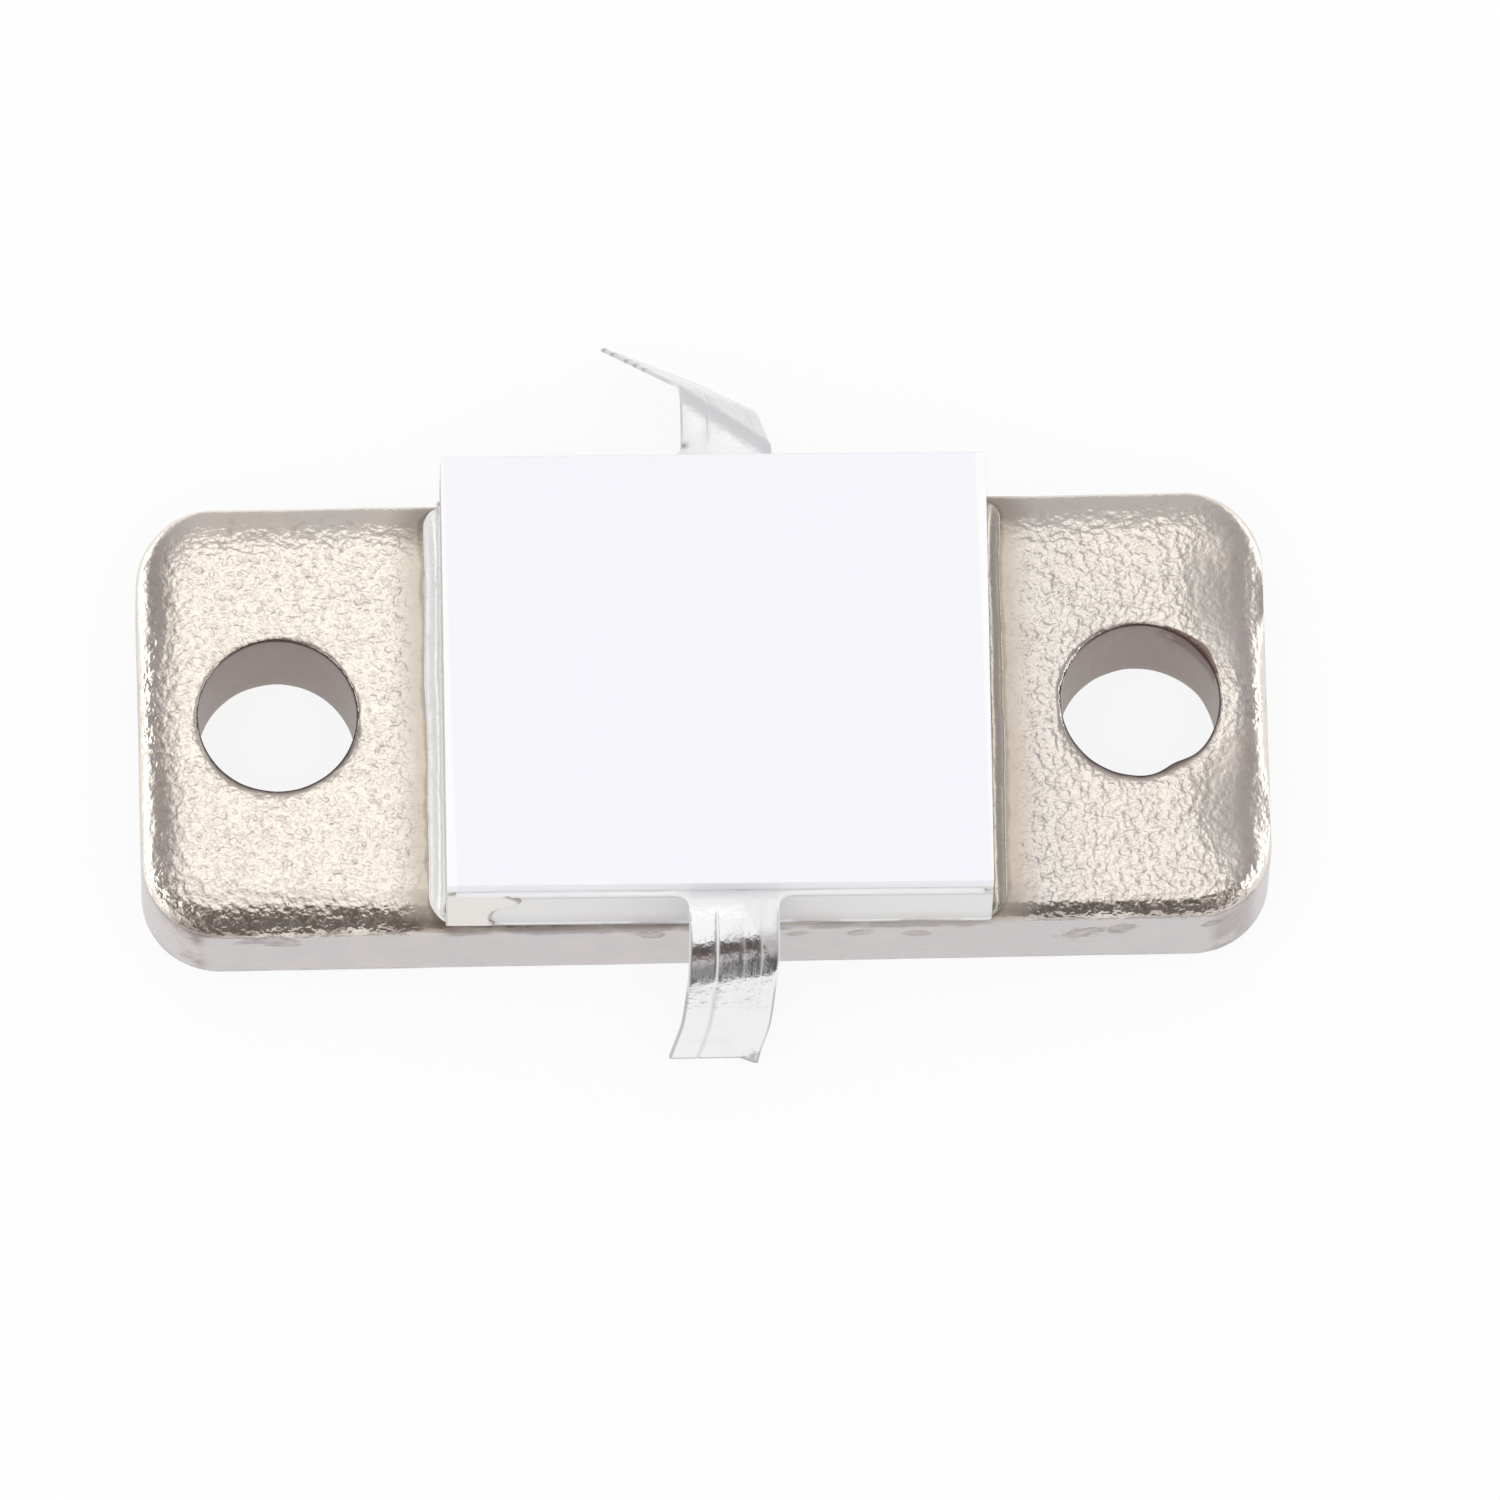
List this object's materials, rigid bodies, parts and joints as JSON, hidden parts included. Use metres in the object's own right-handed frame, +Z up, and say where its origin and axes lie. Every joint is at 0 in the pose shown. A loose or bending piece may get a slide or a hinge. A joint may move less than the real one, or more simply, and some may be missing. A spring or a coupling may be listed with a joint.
{
  "type": "high power rf resistor",
  "caption": "Flange-mounted RF power resistor: white ceramic block soldered to a rounded nickel-plated flange with a hole in each ear, and a bent silver ribbon lead front and back.",
  "frame": {"origin": "centre of the flange's underside, the face that seats on the heat sink", "axes": "+X along the flange, +Y across it towards the back lead, +Z up from the seating face to the cover"},
  "size_m": [0.025, 0.017, 0.0056],
  "materials": {
    "nickel_plate": "satin",
    "solder": "gloss",
    "fired_metal": "satin",
    "body_ceramic": "matte",
    "resistive_film": "matte",
    "film_glass": "gloss",
    "silver_ribbon": "satin",
    "glue": "satin",
    "cover_ceramic": "matte"
  },
  "bodies": {
    "root": {"flange": "nickel_plate", "base_solder": "solder", "substrate_base_metal": "fired_metal", "substrate": "body_ceramic", "front_pad": "fired_metal", "back_pad": "fired_metal", "resistor_film": "resistive_film", "film_glaze": "film_glass", "front_lead_solder": "solder", "back_lead_solder": "solder", "front_lead": "silver_ribbon", "back_lead": "silver_ribbon", "cover_adhesive": "glue", "cover": "cover_ceramic"}
  },
  "joints": []
}
